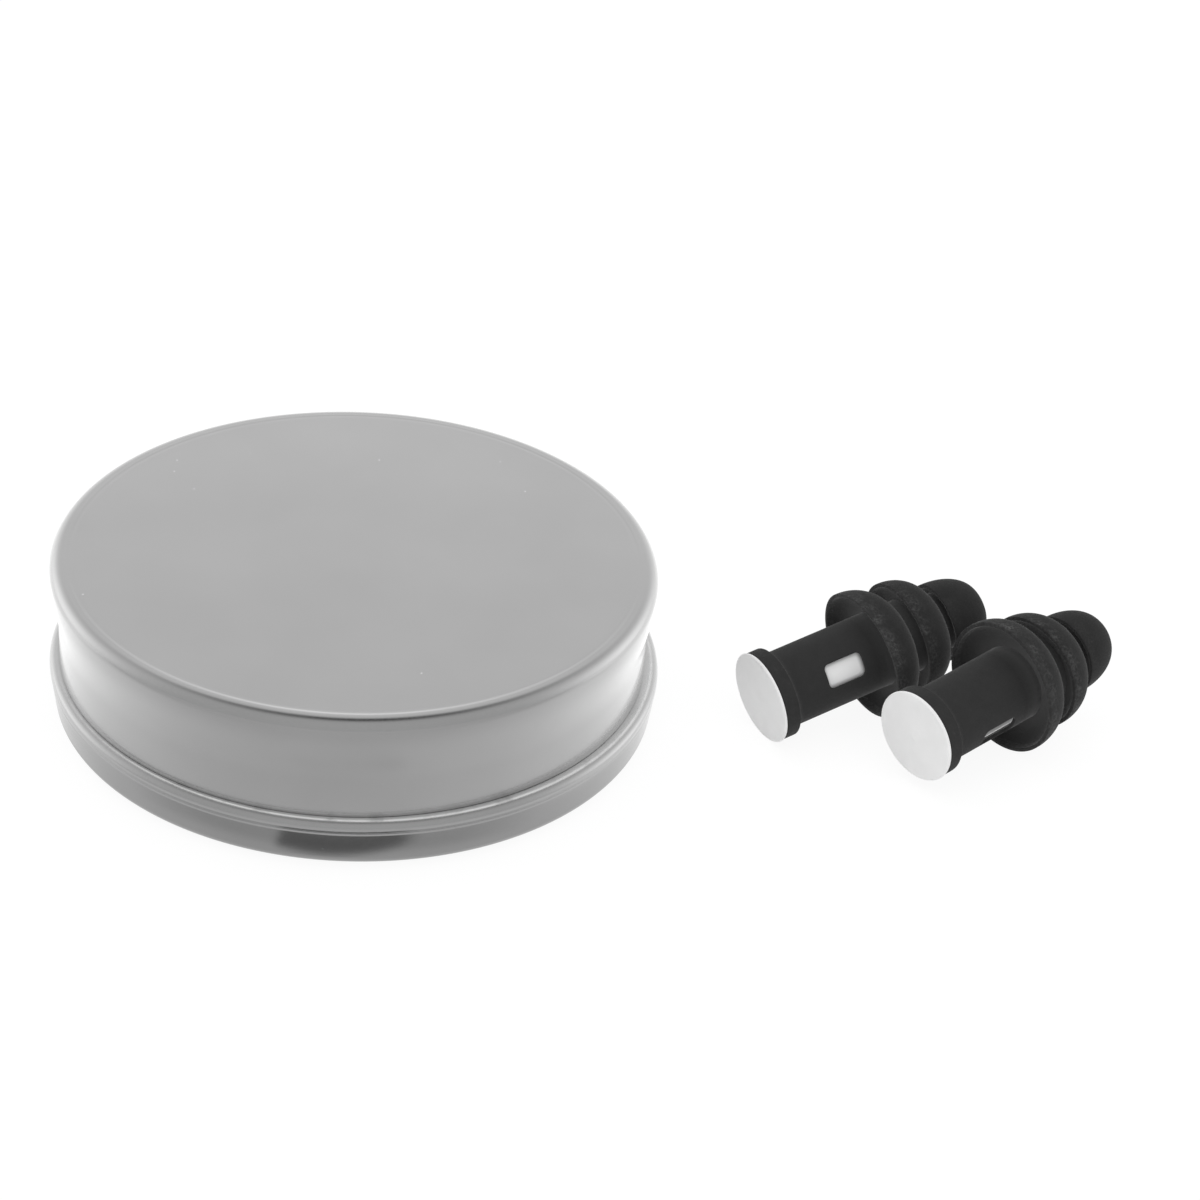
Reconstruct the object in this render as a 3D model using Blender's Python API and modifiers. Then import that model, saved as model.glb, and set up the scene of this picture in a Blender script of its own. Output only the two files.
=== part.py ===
"""A pair of filter ear plugs lying beside their round slip-lid tin.

Units are metres and +Z is up. The origin is the centre of the tin's underside, and the plugs
lie on the same surface, on the +X side of the tin. Each plug is built along its own axis, from
the outer face of its end disc towards its nose, under an empty that lays it down.
"""

import math

import bmesh
import bpy
import numpy as np
from mathutils import Vector

MM = 0.001

# Clearances
FIT_GAP = 0.3 * MM          # between pieces that seat on or in each other
SLIDE_GAP = 0.35 * MM       # between the tin's neck and the lid's wall
PLUG_GAP = 0.3 * MM         # between the two plugs, seen from above

# Tin
SHEET = 0.3 * MM            # thickness of the sheet metal
LID_RADIUS = 29.5 * MM      # outside of the lid's wall
LID_HEIGHT = 10.45 * MM     # lower edge of the lid to its top panel
SHOULDER_REACH = 0.5 * MM   # how far the lid's rounded shoulder stands proud of its wall
SHOULDER_ROUND = 0.9 * MM   # height of the upper rounding of the shoulder
SHOULDER_TUCK = 2.2 * MM    # height over which the shoulder draws back to the wall
PANEL_INSET = 2.0 * MM      # shoulder's outside to the edge of the flat top panel
PANEL_SINK = 0.15 * MM      # depth of the top panel below the ridge round it
BAND_RADIUS = 30.28 * MM    # outside of the base below its bead
BEAD_REACH = 0.47 * MM      # how far the stop bead stands proud of the band
BEAD_WIDTH = 1.65 * MM      # height of the stop bead
BEAD_FACE = 1.15 * MM       # height of the bead's upright face
BEAD_ROUND = 0.25 * MM      # rounding of the bead's upper edge
BEAD_FLOOR = 4.45 * MM      # underside of the bead above the floor
BASE_CORNER = 1.7 * MM      # height of the rounding between the base's bottom and its band
BASE_SWEEP = 3.2 * MM       # run of that rounding across the bottom
NECK_HEIGHT = 8.5 * MM      # neck above the bead
NECK_CURL = 0.6 * MM        # inward rounding of the neck's top edge

# Plug, along its axis
DISC_THICKNESS = 0.5 * MM
DISC_CROWN = 0.2 * MM       # rise of the disc's face at its centre
COLLAR_LENGTH = 1.35 * MM
COLLAR_FILLET = 1.0 * MM    # run of the hollow rounding from the collar to the stem
STEM_LENGTH = 12.45 * MM    # face of the disc to the rim of the first flange
FLANGE_PITCHES = (4.45 * MM, 4.5 * MM)
NOSE_LENGTH = 5.1 * MM      # rim of the third flange to the tip
RIM_BAND = 0.3 * MM         # width of a flange's rim
RIM_ROUND = 0.2 * MM        # rounding of the rim's edges
RIM_EDGE = 0.4 * MM         # thickness of the rim, where the hollow under it starts
SKIRT_DEPTHS = (1.8 * MM, 1.1 * MM, 0.9 * MM)  # hollow under each flange
NECK_CLEAR = 1.0 * MM       # bare neck between a flange's dome and the next rim
STEP_DEPTH = 1.0 * MM       # first flange's rim to the step in the bore
SPIGOT_LENGTH = 4.3 * MM
DAMPER_THICKNESS = 0.6 * MM
WINDOW_LENGTH = 4.3 * MM
WINDOW_SETBACK = 1.85 * MM  # window's front edge to the first flange's rim

# Plug, across its axis
TUBE_RADIUS = 3.3 * MM      # outside of the white core
TUBE_WALL = 0.95 * MM
STEM_WALL = 0.37 * MM
COLLAR_REACH = 0.75 * MM    # collar beyond the stem
DISC_REACH = 0.1 * MM       # disc beyond the collar
SOUND_RADIUS = 1.1 * MM     # bore from the damper to the tip
NECK_WALLS = (2.8 * MM, 1.95 * MM)
FLANGE_REACHES = (2.98 * MM, 2.15 * MM, 1.17 * MM)
TIP_WALL = 0.55 * MM        # flat end round the sound bore
WINDOW_WIDTH = 2.5 * MM
WINDOW_CORNER = 0.55 * MM
EDGE_BREAK = 0.2 * MM       # small chamfers on the mouldings

# Where the plugs lie
TIN_TO_PLUG = 10.48 * MM    # tin's bead to the centre of the left plug's disc, along X
LEFT_PLUG_Y = -2.55 * MM
PLUG_STEP = 15.29 * MM      # left disc to right disc, along X
YAWS = (math.radians(31.8), math.radians(43.0))
RIGHT_TILT = math.radians(4.6)  # nose-up tilt of the right plug, which lies on its first flange
WINDOW_TURNS = (math.radians(60.0), math.radians(113.0))  # from the top, towards -Y

# Fineness of the round shapes
TIN_SEGMENTS = 44
PLUG_SEGMENTS = 24
ARC_STEPS = 4
DOME_STEPS = 6
SHARP_ANGLE = math.radians(35)
PLAN_STEP = 0.3 * MM        # spacing of the points that measure the gap between the plugs
PLAN_TURNS = 12

# Sizes that follow
SHOULDER_RADIUS = LID_RADIUS + SHOULDER_REACH
NECK_RADIUS = LID_RADIUS - SHEET - SLIDE_GAP
BEAD_RADIUS = BAND_RADIUS + BEAD_REACH
BEAD_TOP = BEAD_FLOOR + BEAD_WIDTH
LID_EDGE = BEAD_TOP + FIT_GAP
LID_TOP = LID_EDGE + LID_HEIGHT
BORE_RADIUS = TUBE_RADIUS + FIT_GAP
TUBE_BORE = TUBE_RADIUS - TUBE_WALL
SPIGOT_RADIUS = TUBE_BORE - FIT_GAP
STEM_RADIUS = BORE_RADIUS + STEM_WALL
COLLAR_RADIUS = STEM_RADIUS + COLLAR_REACH
DISC_RADIUS = COLLAR_RADIUS + DISC_REACH
NECK_RADII = tuple(SOUND_RADIUS + wall for wall in NECK_WALLS)
ROOT_RADII = (STEM_RADIUS,) + NECK_RADII
FLANGE_RADII = tuple(root + reach for root, reach in zip(ROOT_RADII, FLANGE_REACHES))
TIP_RADIUS = SOUND_RADIUS + TIP_WALL
RIMS = (STEM_LENGTH, STEM_LENGTH + FLANGE_PITCHES[0], STEM_LENGTH + sum(FLANGE_PITCHES))
PLUG_LENGTH = RIMS[2] + NOSE_LENGTH
SLEEVE_START = DISC_THICKNESS + FIT_GAP
BORE_END = RIMS[0] + STEP_DEPTH
DAMPER_END = BORE_END - FIT_GAP
TUBE_END = DAMPER_END - DAMPER_THICKNESS - FIT_GAP
WINDOW_END = RIMS[0] - WINDOW_SETBACK


def clear_scene():
    for obj in list(bpy.data.objects):
        bpy.data.objects.remove(obj)


def new_collection(name):
    collection = bpy.data.collections.new(name)
    bpy.context.scene.collection.children.link(collection)
    return collection


def new_material(name, colour, roughness, metallic):
    material = bpy.data.materials.new(name)
    material.use_nodes = True
    shader = material.node_tree.nodes["Principled BSDF"]
    shader.inputs["Base Color"].default_value = (*colour, 1.0)
    shader.inputs["Roughness"].default_value = roughness
    shader.inputs["Metallic"].default_value = metallic
    return material


def quarter(start, end, bulge, steps=ARC_STEPS):
    """Quarter of an ellipse from start to end, as (radius, height) pairs without the start.

    With bulge 'radius' the arc leaves start along the height and meets end along the radius,
    and with bulge 'height' it leaves along the radius and meets end along the height.
    """
    (r0, z0), (r1, z1) = start, end
    points = []
    for i in range(1, steps + 1):
        turn = math.pi / 2 * i / steps
        near, far = 1 - math.cos(turn), math.sin(turn)
        if bulge == "radius":
            points.append((r0 + (r1 - r0) * near, z0 + (z1 - z0) * far))
        else:
            points.append((r0 + (r1 - r0) * far, z0 + (z1 - z0) * near))
    return points


def turned(name, outline, material, segments, closed=False, sheet=0.0):
    """A body turned about Z from an outline of (radius, height) pairs that runs down its outside.

    A closed outline is a ring. An open one that starts and ends on the axis is a solid, and one
    that is given a sheet thickness is a shell whose outside it draws.
    """
    mesh = bpy.data.meshes.new(name)
    points = [(r, 0.0, z) for r, z in outline]
    edges = [(i, i + 1) for i in range(len(points) - 1)]
    if closed:
        edges.append((len(points) - 1, 0))
    mesh.from_pydata(points, edges, [])
    obj = bpy.data.objects.new(name, mesh)
    parts.objects.link(obj)
    obj.data.materials.append(material)
    screw = obj.modifiers.new("turn", "SCREW")
    screw.axis = "Z"
    screw.steps = screw.render_steps = segments
    screw.use_merge_vertices = True
    screw.merge_threshold = 0.00001
    screw.use_smooth_shade = True
    if sheet:
        shell = obj.modifiers.new("sheet", "SOLIDIFY")
        shell.thickness = sheet
        shell.offset = -1.0
        shell.use_even_offset = True
    return obj


def settle(obj):
    """Replaces a piece's outline by its finished mesh, smooth on its round faces."""
    depsgraph = bpy.context.evaluated_depsgraph_get()
    mesh = bpy.data.meshes.new_from_object(obj.evaluated_get(depsgraph))
    obj.modifiers.clear()
    obj.data = mesh
    mesh.shade_smooth()
    mesh.set_sharp_from_angle(angle=SHARP_ANGLE)


def tin_base():
    neck_top = BEAD_TOP + NECK_HEIGHT
    face_top = BEAD_TOP - BEAD_ROUND
    outline = [(NECK_RADIUS - NECK_CURL, neck_top)]
    outline += quarter(outline[-1], (NECK_RADIUS, neck_top - NECK_CURL), "height", ARC_STEPS - 1)
    outline += [(NECK_RADIUS, BEAD_TOP), (BEAD_RADIUS - BEAD_ROUND, BEAD_TOP)]
    outline += quarter(outline[-1], (BEAD_RADIUS, face_top), "height", ARC_STEPS - 1)
    outline.append((BEAD_RADIUS, face_top - BEAD_FACE))
    outline += quarter(outline[-1], (BAND_RADIUS, BEAD_FLOOR), "radius")
    outline.append((BAND_RADIUS, BASE_CORNER))
    outline += quarter(outline[-1], (BAND_RADIUS - BASE_SWEEP, 0.0), "radius")
    outline.append((0.0, 0.0))
    return turned("tin_base", outline, metal, TIN_SEGMENTS, sheet=SHEET)


def tin_lid():
    panel_edge = SHOULDER_RADIUS - PANEL_INSET
    ridge_radius = SHOULDER_RADIUS - SHOULDER_ROUND
    outline = [(0.0, LID_TOP - PANEL_SINK), (panel_edge, LID_TOP - PANEL_SINK), (ridge_radius, LID_TOP)]
    outline += quarter(outline[-1], (SHOULDER_RADIUS, LID_TOP - SHOULDER_ROUND), "height")
    outline.append((LID_RADIUS, LID_TOP - SHOULDER_ROUND - SHOULDER_TUCK))
    outline.append((LID_RADIUS, LID_EDGE))
    return turned("tin_lid", outline, metal, TIN_SEGMENTS, sheet=SHEET)


def flange(rim, radius, root_radius, skirt_depth, front, front_radius):
    """Outline of one flange, from the foot of its dome back to the root of its hollow underside."""
    rim_front = rim + RIM_BAND
    dome = quarter((radius, rim_front), (front_radius, front), "radius", DOME_STEPS)
    points = dome[::-1]
    points += [(radius, rim_front), (radius, rim + RIM_ROUND), (radius - RIM_ROUND, rim)]
    points.append((radius - RIM_EDGE, rim))
    points += quarter(points[-1], (root_radius, rim + skirt_depth), "radius", ARC_STEPS)
    return points


def sleeve_outside():
    """Outside of the sleeve, from the end of the nose down to the collar's end face."""
    fronts = (RIMS[1] - NECK_CLEAR, RIMS[2] - NECK_CLEAR, PLUG_LENGTH)
    front_radii = NECK_RADII + (TIP_RADIUS,)
    outline = []
    for i in (2, 1, 0):
        root = (ROOT_RADII[i], SKIRT_DEPTHS[i])
        outline += flange(RIMS[i], FLANGE_RADII[i], *root, fronts[i], front_radii[i])
    collar_end = SLEEVE_START + COLLAR_LENGTH
    outline.append((STEM_RADIUS, collar_end + COLLAR_FILLET))
    outline += quarter(outline[-1], (COLLAR_RADIUS, collar_end), "radius")
    outline.append((COLLAR_RADIUS, SLEEVE_START))
    return outline


def sleeve_outline():
    """The sleeve's closed section: down its outside, then up its bore."""
    bore = [(BORE_RADIUS, SLEEVE_START), (BORE_RADIUS, BORE_END)]
    bore += [(SOUND_RADIUS, BORE_END), (SOUND_RADIUS, PLUG_LENGTH)]
    return sleeve_outside() + bore


def end_cap_outline():
    """The end cap's half section, from the spigot's end down to the middle of the disc's face."""
    spigot_end = DISC_THICKNESS + SPIGOT_LENGTH
    outline = [(0.0, spigot_end), (SPIGOT_RADIUS - EDGE_BREAK, spigot_end)]
    outline += [(SPIGOT_RADIUS, spigot_end - EDGE_BREAK), (SPIGOT_RADIUS, DISC_THICKNESS)]
    outline.append((DISC_RADIUS, DISC_THICKNESS))
    outline.append((DISC_RADIUS, DISC_CROWN + EDGE_BREAK))
    outline.append((DISC_RADIUS - EDGE_BREAK, DISC_CROWN))
    outline += quarter(outline[-1], (0.0, 0.0), "height")
    return outline


def ring_outline(outside, bore, start, end):
    """Closed section of a plain tube with broken outer edges."""
    return [
        (outside - EDGE_BREAK, end),
        (outside, end - EDGE_BREAK),
        (outside, start + EDGE_BREAK),
        (outside - EDGE_BREAK, start),
        (bore, start),
        (bore, end),
    ]


def damper_outline():
    start = DAMPER_END - DAMPER_THICKNESS
    return [
        (0.0, DAMPER_END),
        (TUBE_RADIUS - EDGE_BREAK, DAMPER_END),
        (TUBE_RADIUS, DAMPER_END - EDGE_BREAK),
        (TUBE_RADIUS, start + EDGE_BREAK),
        (TUBE_RADIUS - EDGE_BREAK, start),
        (0.0, start),
    ]


def window_cutter(name):
    """A block with rounded corners that reaches from inside the bore to outside the stem."""
    inner, outer = TUBE_RADIUS, STEM_RADIUS + STEM_WALL
    shape = bmesh.new()
    bmesh.ops.create_cube(shape, size=1.0)
    bmesh.ops.scale(shape, vec=(outer - inner, WINDOW_WIDTH, WINDOW_LENGTH), verts=shape.verts)
    middle = Vector(((inner + outer) / 2, 0.0, WINDOW_END - WINDOW_LENGTH / 2))
    bmesh.ops.translate(shape, vec=middle, verts=shape.verts)
    along_x = [e for e in shape.edges if abs((e.verts[0].co - e.verts[1].co).x) > WINDOW_CORNER / 2]
    bmesh.ops.bevel(
        shape, geom=along_x, offset=WINDOW_CORNER, segments=ARC_STEPS - 1, profile=0.5, affect="EDGES"
    )
    mesh = bpy.data.meshes.new(name)
    shape.to_mesh(mesh)
    shape.free()
    obj = bpy.data.objects.new(name, mesh)
    cutters.objects.link(obj)
    obj.hide_render = True
    obj.display_type = "WIRE"
    return obj


def plug_outside():
    """Outside of a whole plug as arrays of radius and of distance along the axis."""
    disc = [(DISC_RADIUS, DISC_THICKNESS), (DISC_RADIUS, DISC_CROWN + EDGE_BREAK)]
    radii, along = np.array(sleeve_outside() + disc).T
    return radii, along


def left_tilt():
    """Nose-up tilt of a plug that lies on the edge of its disc and the rim of its first flange."""
    run = (RIMS[0] + RIM_ROUND) - (DISC_CROWN + EDGE_BREAK)
    return math.atan2(FLANGE_RADII[0] - DISC_RADIUS, run)


def disc_height(tilt):
    """Height of the disc's centre above the floor, so that the plug's lowest point touches it."""
    radii, along = plug_outside()
    return (radii * math.cos(tilt) - along * math.sin(tilt)).max()


def plan_outline(place, yaw, tilt, side):
    """Points of one side of a plug seen from above: each ring of its outside is an ellipse there."""
    radii, along = plug_outside()
    run = np.append(0.0, np.cumsum(np.hypot(np.diff(radii), np.diff(along))))
    stations = np.arange(0.0, run[-1], PLAN_STEP)
    radii, along = np.interp(stations, run, radii), np.interp(stations, run, along)
    turns = np.linspace(-math.pi / 2, math.pi / 2, PLAN_TURNS)
    forward = (along[:, None] * math.cos(tilt) + radii[:, None] * np.sin(turns) * math.sin(tilt)).ravel()
    across = side * (radii[:, None] * np.cos(turns)).ravel()
    x = place[0] + forward * math.cos(yaw) - across * math.sin(yaw)
    y = place[1] + forward * math.sin(yaw) + across * math.cos(yaw)
    return np.stack([x, y], axis=1)


def right_plug_y(left_place, right_x):
    """The right plug slides up to the left one, from the -Y side, until PLUG_GAP is left between them."""
    left = plan_outline(left_place, YAWS[0], left_tilt(), -1)
    y = left_place[1] - PLUG_LENGTH
    right = plan_outline((right_x, y), YAWS[1], RIGHT_TILT, 1)
    while True:
        spans = left[:, None, :] - right[None, :, :]
        spare = math.sqrt((spans ** 2).sum(axis=2).min()) - PLUG_GAP
        if spare < FIT_GAP / 100:
            return y
        y += spare
        right[:, 1] += spare


def plug(side, place, yaw, tilt, window_turn):
    """One plug: sleeve, end cap, core and damper under an empty at the middle of the disc's face."""
    axis = bpy.data.objects.new(side + "_plug_axis", None)
    parts.objects.link(axis)
    axis.location = (place[0], place[1], disc_height(tilt))
    axis.rotation_euler = (0.0, math.pi / 2 - tilt, yaw)
    sleeve = turned(side + "_sleeve", sleeve_outline(), silicone, PLUG_SEGMENTS, closed=True)
    cap = turned(side + "_end_cap", end_cap_outline(), white_plastic, PLUG_SEGMENTS)
    tube_section = ring_outline(TUBE_RADIUS, TUBE_BORE, SLEEVE_START, TUBE_END)
    tube = turned(side + "_filter_tube", tube_section, white_plastic, PLUG_SEGMENTS, closed=True)
    damper = turned(side + "_damper_disc", damper_outline(), mesh_grey, PLUG_SEGMENTS)
    window = window_cutter(side + "_window")
    window.rotation_euler.z = math.pi + window_turn
    for obj in (sleeve, cap, tube, damper, window):
        obj.parent = axis
    cut = sleeve.modifiers.new("window", "BOOLEAN")
    cut.operation = "DIFFERENCE"
    cut.object = window
    return [sleeve, cap, tube, damper]


clear_scene()
parts = new_collection("ear_plugs_with_tin")
cutters = new_collection("cutters")
metal = new_material("satin_metal", (0.42, 0.42, 0.43), 0.35, 1.0)
silicone = new_material("black_silicone", (0.03, 0.03, 0.03), 0.7, 0.0)
white_plastic = new_material("white_plastic", (0.85, 0.85, 0.84), 0.4, 0.0)
mesh_grey = new_material("damper_mesh", (0.6, 0.6, 0.58), 0.6, 0.0)

left_place = (BEAD_RADIUS + TIN_TO_PLUG, LEFT_PLUG_Y)
right_x = left_place[0] + PLUG_STEP
right_place = (right_x, right_plug_y(left_place, right_x))

pieces = [tin_base(), tin_lid()]
pieces += plug("left", left_place, YAWS[0], left_tilt(), WINDOW_TURNS[0])
pieces += plug("right", right_place, YAWS[1], RIGHT_TILT, WINDOW_TURNS[1])
bpy.context.view_layer.update()
for piece in pieces:
    settle(piece)
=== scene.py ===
"""Looks of a pair of filter ear plugs lying beside their round slip-lid tin.

Every piece is a turned surface: a half outline, worked out as arrays of (radius, height) in
millimetres, carried round an axis. The tin's axis is +Z, and each plug's axis runs from the
outer face of its end disc towards its nose.
"""

import math
from collections import namedtuple

import bpy
import numpy as np
from mathutils import Euler, Matrix, Vector


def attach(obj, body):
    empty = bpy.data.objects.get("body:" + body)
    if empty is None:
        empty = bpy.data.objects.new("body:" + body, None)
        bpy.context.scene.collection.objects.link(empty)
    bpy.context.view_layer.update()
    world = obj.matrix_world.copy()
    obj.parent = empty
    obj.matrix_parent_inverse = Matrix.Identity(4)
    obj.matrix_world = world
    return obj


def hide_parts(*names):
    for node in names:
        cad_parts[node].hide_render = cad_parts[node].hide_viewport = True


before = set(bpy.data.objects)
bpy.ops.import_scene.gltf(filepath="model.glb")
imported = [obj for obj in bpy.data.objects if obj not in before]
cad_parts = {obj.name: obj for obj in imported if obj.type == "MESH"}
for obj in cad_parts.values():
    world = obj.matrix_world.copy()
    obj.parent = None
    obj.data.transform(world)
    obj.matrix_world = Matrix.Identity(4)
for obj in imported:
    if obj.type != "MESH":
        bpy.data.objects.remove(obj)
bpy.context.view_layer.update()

MM = 0.001

# Lid: radii and heights above the floor, in millimetres
SHEET = 0.3
PANEL_HEIGHT = 16.735
PANEL_EDGE = 27.2
RIDGE_START = 28.25     # the panel rises from here to the crown
RIDGE_RUN = 0.55
RIDGE_RISE = 0.075
RIDGE_END = 29.08
SHOULDER_START = 29.1
SHOULDER = 30.3
FLARE_HEIGHT = 6.0      # over which the shoulder draws back to the wall
LID_WALL = 29.5
LID_EDGE = 5.73
CROWN_FOOT = 15.4       # what sinks with the crown starts at this height

# Base
NECK = 28.85
NECK_TOP = 14.6
NECK_CURL = 0.6
LEDGE = 5.7
LEDGE_END = 29.88
BEAD = 30.74
BEAD_FACE = (5.05, 5.0)  # top and foot of its upright face
BEAD_FOOT = (30.62, 4.62)  # radius and height, as in the lip under it
FINE_LIP = ((30.58, 4.58), (30.66, 4.42), (30.64, 4.36))
BAND = 30.28
CORNER_RISE = 1.7
CORNER_RUN = 3.2
BASE_SHIFT = 0.25       # the lid sits a little to one side on its neck
TIN_TURNS = 288

# Painted highlight along the edge of the ledge, a pale line in place of a glint: its middle, its
# width across and up, and how far round from +X, towards the front, it is brightest
GLINT_RADIUS = 29.98
GLINT_SPREAD = (0.16, 0.1)
GLINT_SIDE = math.radians(62.0)
GLINT_STRENGTH = 1.8

# Plug, along its axis from the disc's face, and across it
DISC_THICKNESS = 0.5
DISC_RADIUS = 4.82
DISC_CROWN = 0.2
DISC_EDGE = 0.15
SPIGOT_END = 4.8
SPIGOT_RADIUS = 2.05
SLEEVE_START = 0.55
COLLAR_END = 2.15
COLLAR_RADIUS = 4.72
STEM_START = 3.15
STEM_RADIUS = 3.97
BORE_RADIUS = 3.6
BORE_END = 13.45
SOUND_RADIUS = 1.1
RIMS = np.array([12.45, 16.9, 21.4])
FLANGE_RADII = np.array([6.93, 6.05, 4.22])
ROOT_RADII = np.array([3.97, 3.9, 3.05])
TIP_RADIUS = 1.65
PLUG_LENGTH = 26.48
RIM_BAND = 0.3
RIM_EDGE = 0.4
SKIRT_DEPTHS = np.array([1.8, 1.1, 0.9])
RIM_SHARES = np.array([1.0, 0.75, 0.2])  # dust on each flange's rim
NECK_CLEAR = 0.5
TUBE_RADIUS = 3.45
TUBE_BORE = 2.35
TUBE_START, TUBE_END = 0.8, 12.25
TUBE_MIDDLE = 6.4
DAMPER_START, DAMPER_END = 12.55, 13.15
THREAD_PITCH = 0.16
MOULD_EASE = 0.06       # rounding of the small mouldings' corners
PLUG_TURNS = 160

# Window in the stem: half its length and width, its corners, and the lip round it
WINDOW_MIDDLE = 8.45
WINDOW_HALF = np.array([2.15, 1.25])
WINDOW_CORNER = 0.55
WINDOW_LIP = 0.12
FRAME_MARGIN = 0.8
FRAME_CELLS = (36, 26)

# Where each plug lies: middle of the disc's face in metres, then its turns in radians. Painted
# shade on the core reaches in from the upper edge of the window by the next value, and the top of
# the soft first flange is pressed up by the last.
Plug = namedtuple("Plug", "place yaw tilt window_turn core_grime flange_lift")
PLUGS = {
    "left": Plug(place=(0.04123, -0.00255, 0.00468), yaw=math.radians(31.8),
                 tilt=math.radians(9.86383), window_turn=math.radians(60.0),
                 core_grime=0.0, flange_lift=-0.5),
    "right": Plug(place=(0.05652, -0.009245, 0.005913), yaw=math.radians(43.0),
                  tilt=math.radians(4.6), window_turn=math.radians(113.0),
                  core_grime=1.9, flange_lift=0.5),
}

# Floor as metal sees it: its brightness from front to back, the shade round the tin's foot and the
# dark spot before it. Each pair of places, in metres, is where a fade starts and ends.
FLOOR_HALF = 3000.0     # half its side, in millimetres
FLOOR_FRONT, FLOOR_BACK = 0.64, 1.35
FLOOR_DEPTH = (-0.05, 0.002)
FLOOR_CURVE = 1.4
FOOT_SHADE, FOOT_START = 0.52, 0.75
FOOT_INNER, FOOT_OUTER = (0.0318, 0.0328), (0.0344, 0.0358)
FOOT_SIDES = (-0.030, -0.014)
RING_SHADE = 0.72
RING_OUTER = (0.0332, 0.0342)
SPOT_DARK = 0.17
SPOT_LEFT, SPOT_RIGHT = (-0.0058, -0.0048), (0.0088, 0.0118)
SPOT_NEAR, SPOT_FAR = (-0.0322, -0.0314), (-0.0356, -0.0348)
FLOOR_WHITE = 1.06      # as the camera sees it
FLOOR_SHARE = 0.86      # of plain white, over the lit floor

# Surroundings: an even level, and lobes of light, each with its direction, sharpness and amount
WORLD_LEVEL = 0.87
WORLD_LOBES = (((-0.4, -0.3, 0.85), 2.0, 0.22),)
MIRRORED_LEVEL = 0.62
MIRRORED_LOBES = (
    ((0.0, 1.0, 0.0), 3.0, 0.47),
    ((0.0, 1.0, 0.15), 60.0, 0.25),
    ((0.0, 0.375, 0.927), 18.0, -0.6),
    ((1.0, 0.5, 0.22), 8.0, 1.0),
    ((-1.0, 0.5, 0.22), 8.0, 1.0),
)

CAMERA_SENSOR = 36.0
CAMERA_LENS = 100.68
CAMERA_PITCH = math.radians(31.86)
CAMERA_ROLL = math.radians(4.22)
CAMERA_PLACE = Vector((0.02457, -0.28572, 0.19105))
CAMERA_NEAR = 0.01


# Outlines and surfaces

def unit(vectors):
    return vectors / np.linalg.norm(vectors, axis=-1, keepdims=True)


def soften(outline, softness, run, turn_deg=5.0, step=0.02, bend_reach=0.3):
    """Outline with its corners eased: it is cut into equal short steps, each point becomes the
    Gaussian average of its neighbours along the line, and the result is thinned so that points
    stand closest where the line turns most."""
    outline = np.asarray(outline, float)
    length = np.append(0.0, np.cumsum(np.hypot(*np.diff(outline, axis=0).T)))
    stations = np.linspace(0.0, length[-1], int(length[-1] / step) + 1)
    fine = np.stack([np.interp(stations, length, outline[:, i]) for i in (0, 1)], axis=1)
    reach = int(4 * softness / step) + 1
    ahead = np.arange(1, reach + 1)[:, None]
    head = fine[0] - (fine[1] - fine[0]) * ahead[::-1]
    tail = fine[-1] + (fine[-1] - fine[-2]) * ahead
    kernel = np.exp(-0.5 * (np.arange(-reach, reach + 1) * step / softness) ** 2)
    kernel /= kernel.sum()
    padded = np.vstack([head, fine, tail])
    eased = np.stack([np.convolve(padded[:, i], kernel, "valid") for i in (0, 1)], axis=1)
    heading = np.unwrap(np.arctan2(*np.diff(eased, axis=0).T[::-1]))
    bend = np.abs(np.diff(heading, prepend=heading[0], append=heading[-1]))
    spread = np.ones(int(bend_reach / step)) / int(bend_reach / step)
    bend = np.maximum(bend, np.convolve(bend, spread, "same"))
    turned_by = (bend[1:] + bend[:-1]) / 2 / math.radians(turn_deg)
    measure = np.append(0.0, np.cumsum(step / run + turned_by))
    picks = np.linspace(0.0, measure[-1], int(measure[-1]) + 2)
    return np.stack([np.interp(picks, measure, eased[:, i]) for i in (0, 1)], axis=1)


def ellipse_quarter(start, end, leave, count=24):
    """Quarter of an ellipse between two outline points. It leaves start along the height when
    leave is 'height', and along the radius when it is 'radius'."""
    start, end = np.array(start, float), np.array(end, float)
    turn = np.linspace(0.0, math.pi / 2, count)
    slow, fast = 1 - np.cos(turn), np.sin(turn)
    shares = np.stack([slow, fast] if leave == "height" else [fast, slow], axis=1)
    return start + (end - start) * shares


def drawn_sheet(outside):
    """Outside of a drawn sheet with its bends eased, and its inside: the same line with wider
    bends, moved back by the sheet's thickness square to itself."""
    wide = soften(outside, 0.35, 0.2, 3.0)
    ahead = np.gradient(wide, axis=0)
    normal = unit(np.stack([-ahead[:, 1], ahead[:, 0]], axis=1))
    return soften(outside, 0.06, 0.1, 2.0), wide - normal * SHEET


def turned(outline, turns, closed):
    """Surface of an outline carried round the axis: point (i, j) stands at radius r_i and height
    z_i, at j of the equal turns. A closed outline joins its last row to its first."""
    angle = np.linspace(0.0, 2 * math.pi, turns, endpoint=False)
    radius, height = outline[:, :1], outline[:, 1:]
    grid = np.stack([radius * np.cos(angle), radius * np.sin(angle), height + 0 * angle], axis=2)
    rows = len(outline)
    row = np.arange(rows if closed else rows - 1)[:, None]
    column = np.arange(turns)[None, :]
    below, beside = (row + 1) % rows, (column + 1) % turns
    quads = np.stack([row * turns + column, below * turns + column,
                      below * turns + beside, row * turns + beside], axis=2)
    return grid.reshape(-1, 3), quads


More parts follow.
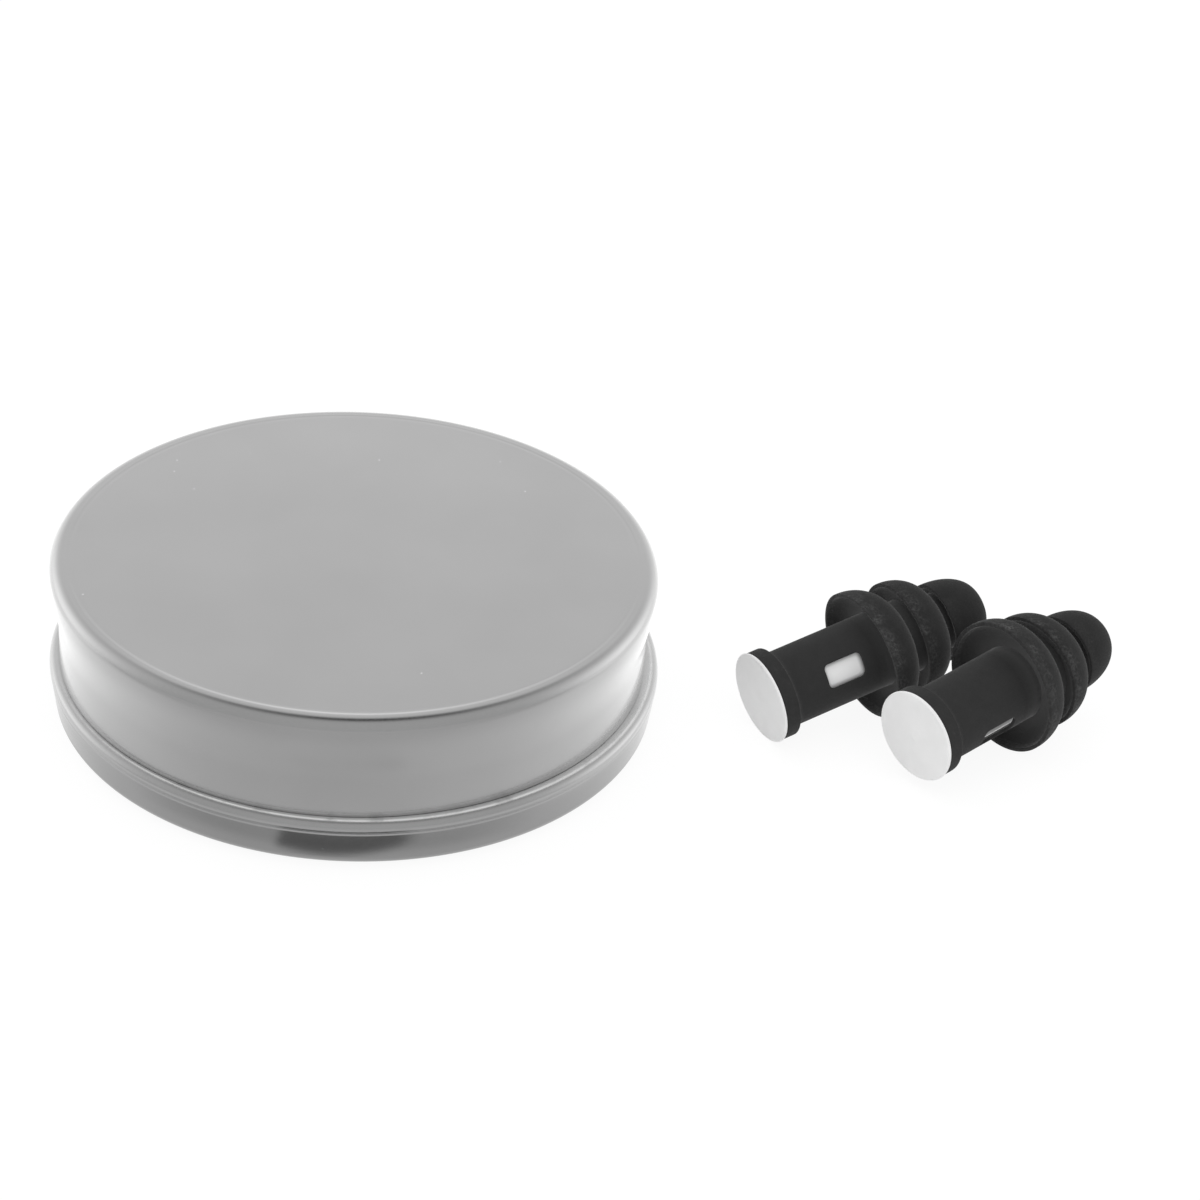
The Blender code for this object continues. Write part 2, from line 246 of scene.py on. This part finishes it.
def turned_solid(outline, turns):
    """Solid turned from an outline that starts and ends on the axis: each end row shrinks to one
    point, which a fan of triangles joins to the next row."""
    outline[[0, -1], 0] = 0.0
    points, quads = turned(outline, turns, False)
    first, last = 0, (len(outline) - 1) * turns
    inner = quads[1:-1].reshape(-1, 4)
    top = np.stack([np.full(turns, first), quads[0, :, 1], quads[0, :, 2]], axis=1)
    bottom = np.stack([quads[-1, :, 0], np.full(turns, last), quads[-1, :, 3]], axis=1)
    used = np.concatenate([[first], np.arange(turns, last), [last]])
    place = np.zeros(len(points), int)
    place[used] = np.arange(len(used))
    return points[used], [place[group].tolist() for group in (inner, top, bottom)]


def make_piece(name, points, faces, material, values=None):
    """Mesh object of a piece at the origin, from points in millimetres, groups of faces and values
    for each point."""
    mesh = bpy.data.meshes.new(name)
    mesh.from_pydata(points * MM, [], sum(faces, []))
    mesh.materials.append(material)
    for key, value in (values or {}).items():
        attribute = mesh.attributes.new(key, "FLOAT", "POINT")
        attribute.data.foreach_set("value", value.astype(np.float32))
    mesh.shade_smooth()
    piece = bpy.data.objects.new(name, mesh)
    bpy.context.scene.collection.objects.link(piece)
    return piece


def ride_for(piece, body, node):
    """Hands a piece to its body, in place of the part's own node. Only the tin shows in
    reflections."""
    piece.visible_glossy = node.startswith("tin")
    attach(piece, body)
    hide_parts(node)


def spun(points, turn):
    """Points turned about the plug's own axis."""
    cos, sin = math.cos(turn), math.sin(turn)
    return points @ np.array([[cos, sin, 0.0], [-sin, cos, 0.0], [0.0, 0.0, 1.0]])


def laid_down(points, plug):
    """Points of a plug's own frame, in millimetres, moved to where the plug lies."""
    rotation = np.array(Euler((0.0, math.pi / 2 - plug.tilt, plug.yaw)).to_matrix())
    return points @ rotation.T + np.array(plug.place) / MM


# Finishes

class Nodes:
    """A node tree with short calls: each adds one node and returns the output asked for."""

    def __init__(self, tree, coordinates):
        self.tree = tree
        self.spot = tree.nodes.new("ShaderNodeTexCoord").outputs[coordinates]

    def put(self, socket, value):
        if isinstance(value, bpy.types.NodeSocket):
            self.tree.links.new(value, socket)
        else:
            socket.default_value = value

    def node(self, kind, inputs=(), out=0, **settings):
        node = self.tree.nodes.new(kind)
        for key, value in settings.items():
            setattr(node, key, value)
        for key, value in dict(inputs).items():
            self.put(node.inputs[key], value)
        return node.outputs[out]

    def maths(self, operation, a, b):
        return self.node("ShaderNodeMath", {0: a, 1: b}, operation=operation)

    def light_path(self):
        return self.tree.nodes.new("ShaderNodeLightPath").outputs


class Finish(Nodes):
    """A material with its shader, on the piece's own coordinates."""

    def __init__(self, name):
        self.material = bpy.data.materials.new(name)
        self.material.use_nodes = True
        super().__init__(self.material.node_tree, "Object")
        self.shader = self.tree.nodes["Principled BSDF"]

    def set(self, **inputs):
        for key, value in inputs.items():
            self.put(self.shader.inputs[key.replace("_", " ")], value)

    def attribute(self, name):
        return self.node("ShaderNodeAttribute", out=2, attribute_name=name)

    def noise(self, size_mm, detail=2.0, rough=0.5):
        return self.node("ShaderNodeTexNoise", {"Vector": self.spot, "Scale": 1.0 / (size_mm * MM),
                                                "Detail": detail, "Roughness": rough})

    def between(self, value, low, high, to_low, to_high):
        return self.node("ShaderNodeMapRange", {"Value": value, "From Min": low, "From Max": high,
                                                "To Min": to_low, "To Max": to_high})

    def mix(self, share, a, b):
        return self.node("ShaderNodeMix", {0: share, 6: a, 7: b}, out=2, data_type="RGBA")

    def bump(self, height, depth_mm, under=None):
        inputs = {"Height": height, "Distance": depth_mm * MM, "Strength": 1.0}
        if under is not None:
            inputs["Normal"] = under
        return self.node("ShaderNodeBump", inputs)

    def specks(self, cell_mm, size, share):
        """1 inside small dots: the part of a few random cells that lies close to the cell's
        point."""
        inputs = {"Vector": self.spot, "Scale": 1.0 / (cell_mm * MM)}
        near = self.node("ShaderNodeTexVoronoi", inputs, out=0)
        tint = self.node("ShaderNodeTexVoronoi", inputs, out=1)
        lot = self.node("ShaderNodeSeparateColor", {0: tint}, out=0)
        dot = self.between(near, size, size * 0.6, 0.0, 1.0)
        return self.maths("MULTIPLY", dot, self.maths("LESS_THAN", lot, share))


def grey(value):
    return (value, value, value, 1.0)


def satin_metal():
    """Rolled tin plate: even grey with a fine grain, faint clouding, a few specks of dust, and a
    painted highlight, a pale line that is not metal, along the edge of the ledge."""
    f = Finish("satin_metal")
    cloud, grain = f.noise(14.0, 3.0), f.noise(0.22, 3.0, 0.65)
    # The pale, non-metallic line along the ledge's edge is a painted highlight.
    painted_glint = f.maths("MULTIPLY", f.attribute("painted_glint"),
                   f.between(f.noise(3.0, 5.0, 0.6), 0.36, 0.5, 0.7, 1.0))
    tone = f.mix(f.between(cloud, 0.3, 0.7, 0.0, 1.0), grey(0.405), grey(0.435))
    tone = f.mix(f.between(grain, 0.35, 0.75, 0.0, 0.25), tone, grey(0.5))
    tone = f.mix(f.specks(2.6, 0.05, 0.22), tone, grey(0.62))
    f.set(Base_Color=f.mix(painted_glint, tone, grey(0.95)), Metallic=f.between(painted_glint, 0.0, 1.0, 1.0, 0.0))
    f.set(Roughness=f.between(grain, 0.3, 0.7, 0.2, 0.27), Coat_Weight=1.0, Coat_Roughness=0.12)
    f.set(Normal=f.bump(grain, 0.004))
    return f.material


def black_silicone():
    """Matt moulded silicone: nearly black, a fine skin, a painted fill light that makes the
    grooves and stem paler, and pale dust that clings to the rims."""
    f = Finish("black_silicone")
    patch, skin, powder = f.noise(1.3, 4.0, 0.6), f.noise(0.12, 2.0), f.noise(0.3, 5.0, 0.7)
    dust = f.maths("MULTIPLY", f.attribute("rim"), f.between(patch, 0.38, 0.68, 0.1, 0.8))
    dust = f.maths("MULTIPLY", dust, f.between(powder, 0.42, 0.66, 0.0, 1.2))
    tone = f.mix(f.between(patch, 0.3, 0.75, 0.0, 1.0), grey(0.020), grey(0.025))
    # Painted fill light: paler in the grooves and on the stem, against their shade.
    tone = f.mix(f.attribute("hollow"), tone, grey(0.08))
    tone = f.mix(dust, tone, grey(0.11))
    f.set(Base_Color=f.mix(f.specks(0.9, 0.06, 0.1), tone, grey(0.07)))
    f.set(Roughness=f.between(skin, 0.3, 0.7, 0.62, 0.8), Specular_IOR_Level=0.15)
    f.set(Normal=f.bump(skin, 0.012, under=f.bump(powder, 0.02)))
    return f.material


def white_plastic(name, painted_shade=False):
    """Smooth white moulding with a faint mottle and a skin that isn't quite even. One with painted
    shade turns dark where it nears the edges of the sleeve's window."""
    f = Finish(name)
    mottle, skin = f.noise(2.4, 3.0), f.noise(0.25, 2.0)
    tone = f.mix(f.between(mottle, 0.3, 0.7, 0.0, 1.0), grey(0.88), grey(0.93))
    if painted_shade:
        # Painted shade: the core turns dark grey near the edges of the window.
        edge = f.between(f.attribute("window_edge"), -0.4, 0.4, 0.0, 1.0)
        tone = f.mix(edge, tone, grey(0.06))
    f.set(Base_Color=tone, Roughness=f.between(mottle, 0.3, 0.7, 0.3, 0.42))
    f.set(Normal=f.bump(skin, 0.003))
    return f.material


def damper_mesh():
    """Fine woven mesh: the product of two sine waves, along the piece's own across and up
    values."""
    f = Finish("damper_mesh")
    across, up = (
        f.maths("SINE", f.maths("MULTIPLY", f.attribute(name), 2 * math.pi / THREAD_PITCH), 0.0)
        for name in ("across", "up"))
    weave = f.between(f.maths("MULTIPLY", across, up), -1.0, 1.0, 0.0, 1.0)
    f.set(Base_Color=f.mix(weave, grey(0.5), grey(0.68)))
    f.set(Roughness=f.between(weave, 0.0, 1.0, 0.7, 0.5))
    f.set(Normal=f.bump(weave, 0.03))
    return f.material


# Tin

def lid_outside():
    """Outside of the lid from the middle of its panel: the flat panel, a smooth rise to the crown,
    the rounded shoulder, and a wall that leaves the shoulder in half a wave."""
    across = np.linspace(PANEL_EDGE, RIDGE_END, 110)
    rise = np.clip((across - RIDGE_START) / RIDGE_RUN, 0.0, 1.0)
    ridge = PANEL_HEIGHT + RIDGE_RISE * rise ** 2 * (3 - 2 * rise)
    crown = PANEL_HEIGHT + RIDGE_RISE
    wall_top = crown - (SHOULDER - SHOULDER_START)
    shoulder = ellipse_quarter((SHOULDER_START, crown), (SHOULDER, wall_top), "radius", 48)
    wave = np.linspace(0.0, math.pi, 30)[1:]
    flare = np.stack([LID_WALL + (SHOULDER - LID_WALL) * (1 + np.cos(wave)) / 2,
                      shoulder[-1, 1] - FLARE_HEIGHT * wave / math.pi], axis=1)
    return np.vstack([[(0.0, PANEL_HEIGHT)], np.stack([across, ridge], axis=1), shoulder, flare,
                      [(LID_WALL, LID_EDGE)]])


def base_outside():
    """Outside of the base from the top of its neck: neck, flat ledge, the half-round bead, one
    fine lip under it, a band that draws in a little, and the wide rounding of the bottom edge."""
    neck = ellipse_quarter((NECK - NECK_CURL, NECK_TOP), (NECK, NECK_TOP - NECK_CURL), "radius")
    top = ellipse_quarter((LEDGE_END, LEDGE), (BEAD, BEAD_FACE[0]), "radius", 30)
    under = ellipse_quarter((BEAD, BEAD_FACE[1]), BEAD_FOOT, "height", 20)
    corner = ellipse_quarter((BAND, CORNER_RISE), (BAND - CORNER_RUN, 0.0), "height", 40)
    return np.vstack([neck, [(NECK, LEDGE)], top, under, FINE_LIP, corner, [(0.0, 0.0)]])


def ledge_glint(points):
    """How strong the painted highlight is at a point of the tin: a bell curve across and up about
    the ledge's edge, strongest on one side of the tin and fading round it as the square of a
    raised cosine."""
    radius, height = np.hypot(points[:, 0], points[:, 1]), points[:, 2]
    side = (0.5 + 0.5 * np.cos(np.arctan2(points[:, 1], points[:, 0]) + GLINT_SIDE)) ** 2
    across, up = (radius - GLINT_RADIUS) / GLINT_SPREAD[0], (height - LEDGE) / GLINT_SPREAD[1]
    return np.minimum(GLINT_STRENGTH * side * np.exp(-across ** 2 - up ** 2), 1.0)


def crown_sink(points):
    """How far a point of the lid's crown sinks towards the panel's height: by the whole rise at
    the back, and by less towards the front, as the cube of the cosine of the angle."""
    radius, height = np.hypot(points[:, 0], points[:, 1]), points[:, 2]
    front = np.clip(-points[:, 1] / np.maximum(radius, 1.0), 0.0, 1.0) ** 3
    crown = np.clip((radius - RIDGE_START) / RIDGE_RUN, 0.0, 1.0)
    return RIDGE_RISE * (1 - front) * crown * np.clip(height - CROWN_FOOT, 0.0, 1.0)


def tin_shell(name, outline, metal, shift=0.0):
    """One half of the tin, turned from the outline of its sheet and moved to one side by shift."""
    outline = soften(outline, 0.03, 2.0, 4.0)
    outline[:, 1] = np.maximum(outline[:, 1], 0.0)
    points, faces = turned_solid(outline, TIN_TURNS)
    # Painted highlight along the ledge's edge, kept for each point
    glint = ledge_glint(points)
    points[:, 2] -= crown_sink(points)
    return make_piece(name, points + np.array([shift, 0.0, 0.0]), faces, metal, {"painted_glint": glint})


def tin(metal):
    outside, inside = drawn_sheet(lid_outside())
    lid = tin_shell("lid_shell", np.vstack([outside, inside[::-1]]), metal)
    ride_for(lid, "lid", "tin_lid")
    outside, inside = drawn_sheet(base_outside())
    base = tin_shell("base_cup", np.vstack([inside[::-1], outside]), metal, BASE_SHIFT)
    ride_for(base, "tin", "tin_base")


# Plugs

def flange(index):
    """One flange, from the foot of its dome back to its hollow root: a quarter ellipse for the
    dome, the rim's narrow band, and a quarter ellipse for the hollow underside."""
    rim, radius, root = RIMS[index], FLANGE_RADII[index], ROOT_RADII[index]
    front = PLUG_LENGTH if index == 2 else RIMS[index + 1] - NECK_CLEAR
    front_radius = TIP_RADIUS if index == 2 else ROOT_RADII[index + 1]
    dome = ellipse_quarter((radius, rim + RIM_BAND), (front_radius, front), "height", 40)[::-1]
    under = ellipse_quarter((radius - RIM_EDGE, rim), (root, rim + SKIRT_DEPTHS[index]), "height")
    return np.vstack([dome, [(radius, rim)], under])


def rounded_window(along, across, spread):
    """Points of the window's outline widened by spread: each is the point of the rounded rectangle
    that lies nearest to the frame point (along, across)."""
    frame_points = np.stack([along - WINDOW_MIDDLE, across], axis=1)
    core = np.clip(frame_points, WINDOW_CORNER - WINDOW_HALF, WINDOW_HALF - WINDOW_CORNER)
    return core + unit(frame_points - core) * (WINDOW_CORNER + spread)


def on_stem(points, radius):
    """Lifts (along, across) points onto a cylinder of that radius, with the window's middle on
    +X."""
    along, across = points[:, 0] + WINDOW_MIDDLE, points[:, 1]
    return np.stack([np.sqrt(radius ** 2 - across ** 2), across, along], axis=1)


def sleeve_surface():
    """The sleeve as one closed surface: its section turned about the axis, with a frame of cells
    left out of the stem and of the bore, and a strip of rings that runs from the outer frame to
    the window's lip, through the wall and on to the inner frame."""
    cells_along, cells_round = FRAME_CELLS
    margin = WINDOW_HALF[0] + FRAME_MARGIN
    low, high = WINDOW_MIDDLE - margin, WINDOW_MIDDLE + margin
    nose = np.vstack([[(BORE_RADIUS, high), (BORE_RADIUS, BORE_END), (SOUND_RADIUS, BORE_END),
                       (SOUND_RADIUS, PLUG_LENGTH)], flange(2), flange(1), flange(0),
                      [(STEM_RADIUS, high)]])
    fillet = ellipse_quarter((STEM_RADIUS, STEM_START), (COLLAR_RADIUS, COLLAR_END), "height")
    foot = np.vstack([[(STEM_RADIUS, low), (STEM_RADIUS, STEM_START)], fillet,
                      [(COLLAR_RADIUS, SLEEVE_START), (BORE_RADIUS, SLEEVE_START),
                       (BORE_RADIUS, low)]])
    nose, foot = soften(nose, 0.07, 0.7, 7.0), soften(foot, 0.07, 0.7, 7.0)
    between = np.linspace(high, low, cells_along + 1)[1:-1]
    down = np.stack([np.full(cells_along - 1, STEM_RADIUS), between], axis=1)
    climb = np.stack([np.full(cells_along - 1, BORE_RADIUS), between[::-1]], axis=1)
    outline = np.vstack([nose, down, foot, climb])
    points, quads = turned(outline, PLUG_TURNS, True)

    rows, half = len(outline), cells_round // 2
    outer_top, inner_low = len(nose) - 1, len(nose) + len(down) + len(foot) - 1
    columns = np.arange(-half, half) % PLUG_TURNS
    keep = np.ones(quads.shape[:2], bool)
    keep[np.ix_(np.arange(outer_top, outer_top + cells_along), columns)] = False
    keep[np.ix_(np.arange(inner_low, inner_low + cells_along) % rows, columns)] = False

    step_round = np.concatenate([np.arange(-half, half), np.full(cells_along, half),
                                 np.arange(half, -half, -1), np.full(cells_along, -half)])
    step_down = np.concatenate([np.zeros(cells_round, int), np.arange(cells_along),
                                np.full(cells_round, cells_along), np.arange(cells_along, 0, -1)])
    column = step_round % PLUG_TURNS
    outer_ring = (outer_top + step_down) * PLUG_TURNS + column
    inner_ring = ((inner_low + cells_along - step_down) % rows) * PLUG_TURNS + column
    along, across = points[outer_ring, 2], points[outer_ring, 1]
    edge = rounded_window(along, across, WINDOW_LIP)
    outer_frame = np.stack([along - WINDOW_MIDDLE, across], axis=1)
    inner_frame = np.stack([along - WINDOW_MIDDLE, points[inner_ring, 1]], axis=1)
    shares = np.linspace(0.0, 1.0, 7)[1:]
    lip = np.linspace(0.0, math.pi / 2, 6)[1:]
    walls = [rounded_window(along, across, WINDOW_LIP * (1 - math.sin(turn))) for turn in lip]
    depths = [WINDOW_LIP * (1 - math.cos(turn)) for turn in lip]
    rings = [on_stem(outer_frame + (edge - outer_frame) * t, STEM_RADIUS) for t in shares]
    rings += [on_stem(wall, STEM_RADIUS - depth) for wall, depth in zip(walls, depths)]
    rings += [on_stem(wall, BORE_RADIUS + depth) for wall, depth in zip(walls[::-1], depths[::-1])]
    rings += [on_stem(inner_frame + (edge - inner_frame) * t, BORE_RADIUS) for t in shares[::-1]]

    count = len(outer_ring)
    new = len(points) + np.arange(len(rings) * count).reshape(len(rings), count)
    strip = np.vstack([outer_ring, new, inner_ring])
    ahead = np.roll(strip, -1, axis=1)
    strip_quads = np.stack([strip[:-1], strip[1:], ahead[1:], ahead[:-1]], axis=2).reshape(-1, 4)
    points = np.vstack([points, *rings])
    faces = np.vstack([quads[keep], strip_quads])
    used = np.unique(faces)
    place = np.zeros(len(points), int)
    place[used] = np.arange(len(used))
    return points[used], [place[faces].tolist()]


def rim_dust(points):
    """How much dust a point of the sleeve holds: most on the rim of each flange and a little on
    the collar's edge, fading along the axis as a bell curve."""
    past_rim, rim_spread, rim_depth = 0.5, 0.75, 0.6
    collar_middle, collar_spread, collar_depth, collar_share = 1.5, 0.5, 0.3, 0.15
    radius, along = np.hypot(points[:, 0], points[:, 1])[:, None], points[:, 2:]
    near = np.exp(-(((along - RIMS - past_rim) / rim_spread) ** 2))
    near = near * (radius > FLANGE_RADII - rim_depth) * RIM_SHARES
    collar = np.exp(-(((along[:, 0] - collar_middle) / collar_spread) ** 2))
    collar = collar * (radius[:, 0] > COLLAR_RADIUS - collar_depth)
    return np.maximum(near.max(axis=1), collar_share * collar)


def groove_fill_light(points):
    """How much painted fill light a point gets: some on the stem, and in the grooves between the
    flanges its distance below the line through the flanges' rims, as a share of a full groove."""
    full_groove, bare_edge, groove_fade = 2.4, 0.3, 0.8
    stem_share, stem_fade = 0.15, 1.5
    radius, along = np.hypot(points[:, 0], points[:, 1]), points[:, 2]
    depth = np.interp(along, RIMS, FLANGE_RADII, right=0.0) - radius - bare_edge
    groove = np.clip(depth / full_groove, 0.0, 1.0)
    groove = groove * np.clip((along - RIMS[0]) / groove_fade, 0.0, 1.0)
    stem = np.clip((RIMS[0] + stem_fade - along) / stem_fade, 0.0, 1.0)
    return np.maximum(groove, stem_share * stem)


def pressed(points, lift):
    """Moves the top of the soft first flange up by lift: the move grows with the distance from the
    stem and towards the top, and ends before the second flange. Up is -X in the plug's own
    frame."""
    rim_margin, next_margin, fade = 0.1, 0.2, 0.6
    radius, along = np.hypot(points[:, 0], points[:, 1]), points[:, 2]
    reach = np.clip((radius - STEM_RADIUS) / (FLANGE_RADII[0] - STEM_RADIUS), 0.0, 1.0)
    near = np.clip((RIMS[1] - next_margin - along) / fade, 0.0, 1.0)
    near = near * (along > RIMS[0] - rim_margin)
    share = np.clip(-points[:, 0] / radius, 0.0, 1.0) ** 2
    return points - np.outer(lift * reach * near * share, (1.0, 0.0, 0.0))


def cap_outline():
    """Half outline of an end cap from the end of its spigot: spigot, back and edge of the disc,
    and a quarter ellipse for the crowned face."""
    face = ellipse_quarter((DISC_RADIUS - DISC_EDGE, DISC_CROWN), (0.0, 0.0), "radius")
    back = [(0.0, SPIGOT_END), (SPIGOT_RADIUS, SPIGOT_END), (SPIGOT_RADIUS, DISC_THICKNESS),
            (DISC_RADIUS, DISC_THICKNESS), (DISC_RADIUS, DISC_CROWN + DISC_EDGE)]
    return soften(np.vstack([back, face]), MOULD_EASE, 0.5)


def tube_outline():
    """Section of the core's wall, a rectangle that starts and ends halfway along its outside."""
    corners = [(TUBE_RADIUS, TUBE_MIDDLE), (TUBE_RADIUS, TUBE_START), (TUBE_BORE, TUBE_START),
               (TUBE_BORE, TUBE_END), (TUBE_RADIUS, TUBE_END), (TUBE_RADIUS, TUBE_MIDDLE)]
    return soften(corners, MOULD_EASE, 0.4, 9.0)[:-1]


def damper_outline():
    """Half outline of the damper disc, a flat round plate."""
    corners = [(0.0, DAMPER_END), (TUBE_RADIUS, DAMPER_END), (TUBE_RADIUS, DAMPER_START),
               (0.0, DAMPER_START)]
    return soften(corners, MOULD_EASE, 0.4)


def window_edge(points, turn, reach):
    """How far a point of the core lies outside the window's edge, in millimetres: the largest of
    its distances along the axis and round it from the window's middle, less half the window's
    size, with the upper edge moved in by reach."""
    angle = np.arctan2(points[:, 1], points[:, 0]) - turn
    around = ((angle + math.pi) % (2 * math.pi) - math.pi) * TUBE_RADIUS
    ends = np.abs(points[:, 2] - WINDOW_MIDDLE) - WINDOW_HALF[0]
    return np.maximum(ends, np.maximum(around, reach - around) - WINDOW_HALF[1])


def ear_plug(side, silicone, plastic, core, mesh_cloth):
    plug, body, cap_body = PLUGS[side], side + "_plug", side + "_cap"
    window_turn = math.pi + plug.window_turn

    points, faces = sleeve_surface()
    # Rim dust, and a painted fill light for the grooves and stem.
    dust = {"rim": rim_dust(points), "hollow": groove_fill_light(points)}
    points = laid_down(pressed(spun(points, window_turn), plug.flange_lift), plug)
    piece = make_piece(side + "_silicone_sleeve", points, faces, silicone, dust)
    ride_for(piece, body, side + "_sleeve")

    points, faces = turned_solid(cap_outline(), PLUG_TURNS)
    piece = make_piece(side + "_end_disc", laid_down(points, plug), faces, plastic)
    ride_for(piece, cap_body, side + "_end_cap")

    points, quads = turned(tube_outline(), PLUG_TURNS, True)
    # Painted shade on the core, darkest outside the window's edges.
    core_shade = {"window_edge": window_edge(points, window_turn, plug.core_grime)}
    faces = [quads.reshape(-1, 4).tolist()]
    piece = make_piece(side + "_core_tube", laid_down(points, plug), faces, core, core_shade)
    ride_for(piece, body, side + "_filter_tube")

    points, faces = turned_solid(damper_outline(), PLUG_TURNS // 2)
    threads = {"across": points[:, 0], "up": points[:, 1]}
    piece = make_piece(side + "_damper_cloth", laid_down(points, plug), faces, mesh_cloth, threads)
    ride_for(piece, body, side + "_damper_disc")


# Stage

def pale_floor():
    """White floor: lit as any surface, and mostly plain white where the camera sees it. Metal sees
    it grow brighter from the front to the back, as a sweep does that is lit from behind, with a
    shade round the tin's foot and one dark spot in front of it."""
    f = Finish("pale_floor")
    f.set(Base_Color=grey(0.9), Roughness=0.8)
    sides = f.tree.nodes.new("ShaderNodeSeparateXYZ")
    f.put(sides.inputs[0], f.spot)
    x, y = sides.outputs[0], sides.outputs[1]
    distance = f.node("ShaderNodeVectorMath", {0: f.spot}, out=1, operation="LENGTH")

    depth = f.maths("POWER", f.between(y, *FLOOR_DEPTH, 0.0, 1.0), FLOOR_CURVE)
    glow = f.between(depth, 0.0, 1.0, FLOOR_FRONT, FLOOR_BACK)
    foot = f.maths("MAXIMUM", f.between(distance, *FOOT_OUTER, FOOT_SHADE, 1.0),
                   f.between(distance, *FOOT_INNER, FOOT_START, FOOT_SHADE))
    foot = f.maths("MAXIMUM", foot, f.between(y, *FOOT_SIDES, FOOT_SHADE, 1.0))
    foot = f.maths("MINIMUM", foot, f.between(distance, *RING_OUTER, RING_SHADE, 1.0))
    glow = f.maths("MULTIPLY", glow, foot)
    width = f.maths("MULTIPLY", f.between(x, *SPOT_LEFT, 0.0, 1.0),
                    f.between(x, *SPOT_RIGHT, 1.0, 0.0))
    length = f.maths("MULTIPLY", f.between(y, *SPOT_NEAR, 1.0, 0.0),
                     f.between(y, *SPOT_FAR, 0.0, 1.0))
    spot = f.between(f.maths("MULTIPLY", width, length), 0.0, 1.0, 1.0, SPOT_DARK)
    glow = f.maths("MULTIPLY", glow, spot)

    path = f.light_path()
    strength = f.node("ShaderNodeMix", {0: path["Is Camera Ray"], 2: glow, 3: FLOOR_WHITE})
    shine = f.node("ShaderNodeEmission", {"Strength": strength})
    seen = f.maths("MAXIMUM", path["Is Glossy Ray"], path["Is Transmission Ray"])
    seen = f.maths("MAXIMUM", path["Is Camera Ray"], seen)
    share = f.maths("MULTIPLY", seen, FLOOR_SHARE)
    both = f.node("ShaderNodeMixShader", {0: share, 1: f.shader.outputs[0], 2: shine})
    f.put(f.tree.nodes["Material Output"].inputs["Surface"], both)
    corners = np.array([(-1, -1, 0), (1, -1, 0), (1, 1, 0), (-1, 1, 0)], float) * FLOOR_HALF
    floor = make_piece("floor", corners, [[[0, 1, 2, 3]]], f.material)


def studio_light():
    """Even white surroundings. Metal sees them brighter behind the object and at its sides, and
    dark overhead. A lobe is its amount times a power of the cosine from its direction."""
    world = bpy.data.worlds.new("studio")
    bpy.context.scene.world = world
    world.use_nodes = True
    sky = Nodes(world.node_tree, "Generated")

    def with_lobes(level, lobes):
        for direction, power, amount in lobes:
            cosine = sky.node("ShaderNodeVectorMath",
                              {0: sky.spot, 1: Vector(direction).normalized()},
                              out=1, operation="DOT_PRODUCT")
            lobe = sky.maths("POWER", sky.maths("MAXIMUM", cosine, 0.0), power)
            level = sky.maths("ADD", sky.maths("MULTIPLY", lobe, amount), level)
        return level

    path = sky.light_path()
    glossy = path["Is Glossy Ray"]
    mirrored = sky.maths("MULTIPLY", with_lobes(MIRRORED_LEVEL, MIRRORED_LOBES), glossy)
    lit = sky.maths("MULTIPLY", with_lobes(WORLD_LEVEL, WORLD_LOBES),
                    sky.maths("SUBTRACT", 1.0, glossy))
    background = sky.tree.nodes["Background"].inputs
    sky.put(background["Color"], grey(1.0))
    sky.put(background["Strength"],
            sky.maths("MAXIMUM", sky.maths("ADD", mirrored, lit), path["Is Camera Ray"]))


def photo_camera():
    """Camera that looks along +Y and down by its pitch, turned about its own line of sight by its
    roll."""
    data = bpy.data.cameras.new("photo_camera")
    data.sensor_width = CAMERA_SENSOR
    data.lens = CAMERA_LENS
    data.clip_start = CAMERA_NEAR
    camera = bpy.data.objects.new("photo_camera", data)
    bpy.context.scene.collection.objects.link(camera)
    forward = Vector((0.0, math.cos(CAMERA_PITCH), -math.sin(CAMERA_PITCH)))
    level = Vector((1.0, 0.0, 0.0))
    upright = level.cross(forward)
    across = level * math.cos(CAMERA_ROLL) + upright * math.sin(CAMERA_ROLL)
    up = upright * math.cos(CAMERA_ROLL) - level * math.sin(CAMERA_ROLL)
    turn = Matrix((across, up, -forward)).transposed().to_4x4()
    camera.matrix_world = Matrix.Translation(CAMERA_PLACE) @ turn
    bpy.context.scene.camera = camera


bpy.context.scene.view_settings.view_transform = "Standard"
metal, silicone = satin_metal(), black_silicone()
plastic, core = white_plastic("white_plastic"), white_plastic("white_core", painted_shade=True)
mesh_cloth = damper_mesh()
tin(metal)
for side in PLUGS:
    ear_plug(side, silicone, plastic, core, mesh_cloth)
pale_floor()
studio_light()
photo_camera()
